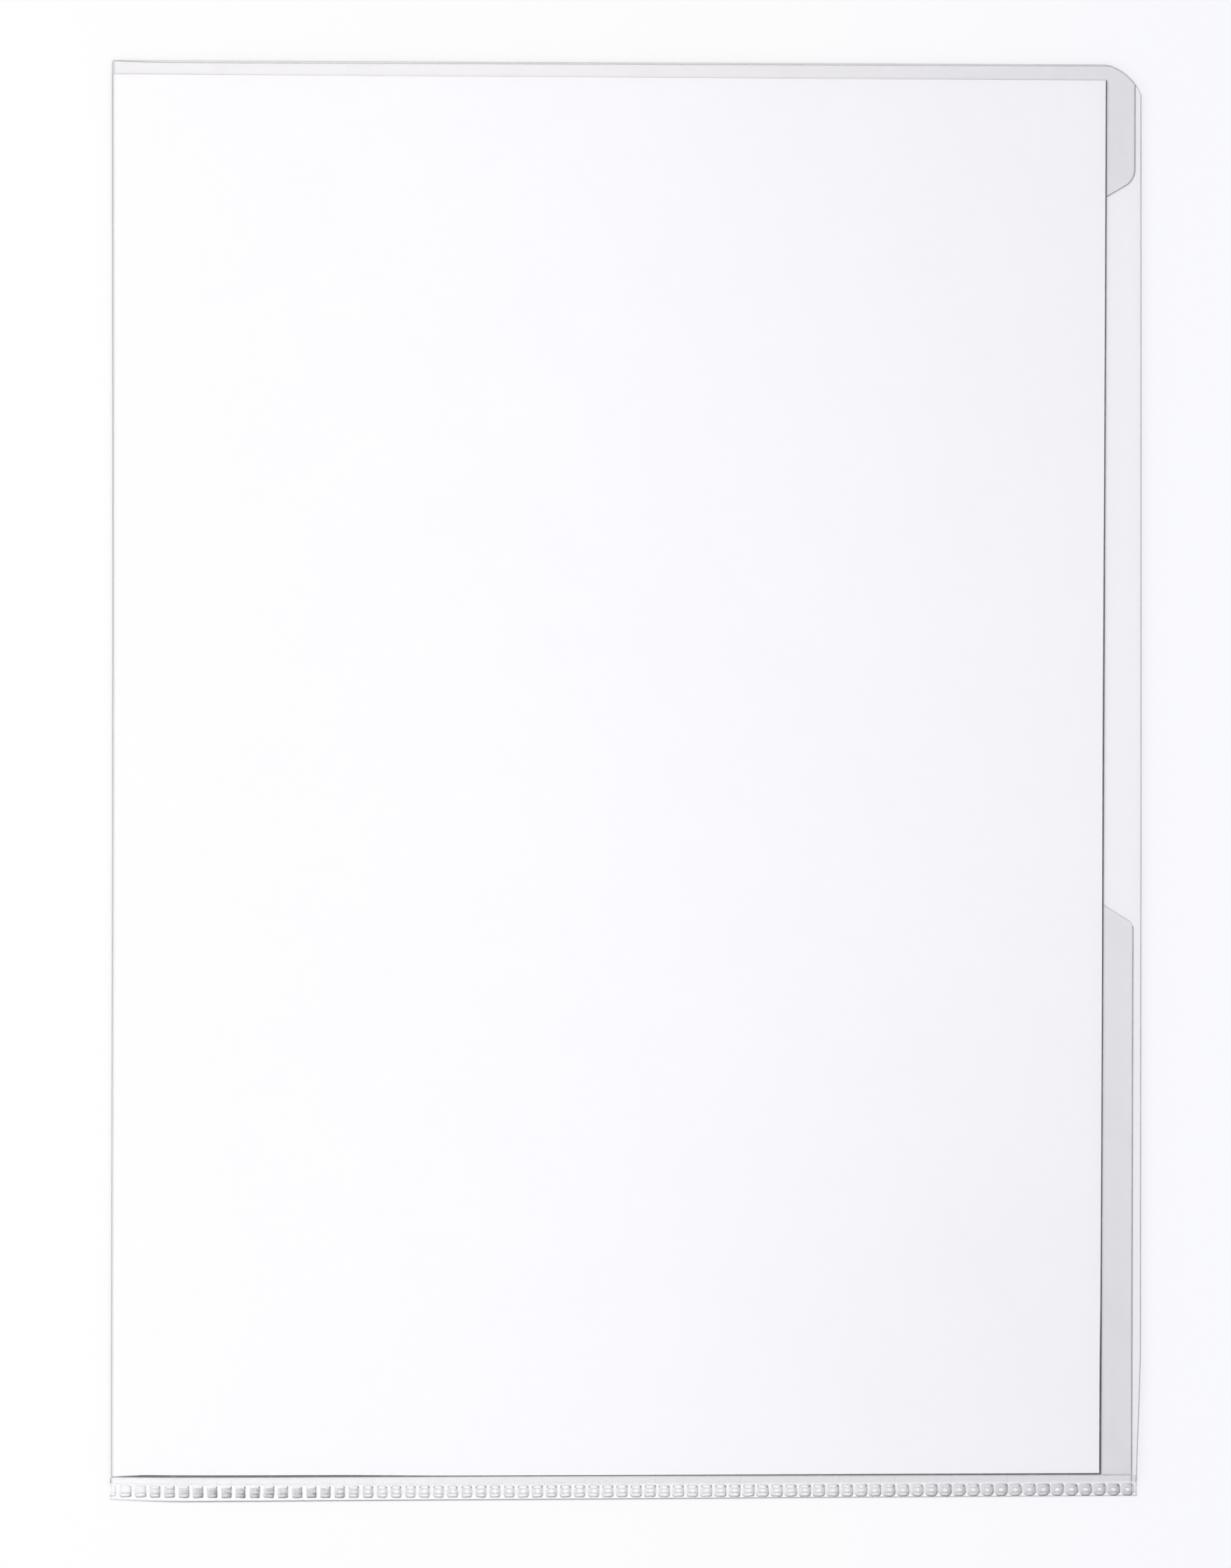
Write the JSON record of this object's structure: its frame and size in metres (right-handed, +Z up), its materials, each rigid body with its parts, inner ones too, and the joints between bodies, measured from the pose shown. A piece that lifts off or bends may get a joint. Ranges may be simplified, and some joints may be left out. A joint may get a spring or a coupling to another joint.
{
  "type": "l-shaped document folder",
  "caption": "Clear film L-shaped document folder, folded at the side and welded at the bottom, with a grip notch, a round front corner that rolls open, and a white paper sheet that slides out.",
  "frame": {"origin": "on the table, under the middle of the folder's outline", "axes": "+X across the page to the open side, +Y up the page to the open top, +Z up from the table, out of the front film"},
  "size_m": [0.219, 0.305, 0.001],
  "materials": {
    "back_film": "clear glossy film",
    "front_film": "clear glossy film",
    "folded_film": "clear glossy film, creased",
    "welded_film": "clear film, welded with pressed cells",
    "white_paper": "matt white office paper"
  },
  "bodies": {
    "folder": {"back_panel": "back_film", "spine_fold": "folded_film", "weld_seam": "welded_film", "front_panel": "front_film"},
    "bend_1": {"front_bend_1": "front_film"},
    "bend_2": {"front_bend_2": "front_film"},
    "bend_3": {"front_bend_3": "front_film"},
    "bend_4": {"front_bend_4": "front_film"},
    "bend_5": {"front_bend_5": "front_film"},
    "corner": {"front_corner": "front_film"},
    "paper": {"paper_sheet": "white_paper"}
  },
  "joints": [
    {"name": "corner_lift", "type": "hinge", "parent": "folder", "child": "bend_1", "pos_m": [0.00369, 0.00514, 0.00093], "axis": [0.5833, -0.8123, 0], "range_deg": [0, 15], "stiffness_Nm_per_rad": 0.03},
    {"name": "corner_roll_2", "type": "hinge", "parent": "bend_1", "child": "bend_2", "pos_m": [0.0187, 0.02604, 0.00093], "axis": [0.5833, -0.8123, 0], "range_deg": [0, 15]},
    {"name": "corner_roll_3", "type": "hinge", "parent": "bend_2", "child": "bend_3", "pos_m": [0.0337, 0.04694, 0.00093], "axis": [0.5833, -0.8123, 0], "range_deg": [0, 15]},
    {"name": "corner_roll_4", "type": "hinge", "parent": "bend_3", "child": "bend_4", "pos_m": [0.04871, 0.06784, 0.00093], "axis": [0.5833, -0.8123, 0], "range_deg": [0, 15]},
    {"name": "corner_roll_5", "type": "hinge", "parent": "bend_4", "child": "bend_5", "pos_m": [0.06372, 0.08874, 0.00093], "axis": [0.5833, -0.8123, 0], "range_deg": [0, 15]},
    {"name": "corner_roll_6", "type": "hinge", "parent": "bend_5", "child": "corner", "pos_m": [0.07872, 0.10964, 0.00093], "axis": [0.5833, -0.8123, 0], "range_deg": [0, 15]},
    {"name": "paper_slide", "type": "slide", "parent": "folder", "child": "paper", "axis": [1, 0, 0], "range_m": [0, 0.22]}
  ],
  "couplings": [
    {"joint": "corner_roll_2", "follows": "corner_lift", "ratio": 1},
    {"joint": "corner_roll_3", "follows": "corner_lift", "ratio": 1},
    {"joint": "corner_roll_4", "follows": "corner_lift", "ratio": 1},
    {"joint": "corner_roll_5", "follows": "corner_lift", "ratio": 1},
    {"joint": "corner_roll_6", "follows": "corner_lift", "ratio": 1}
  ]
}
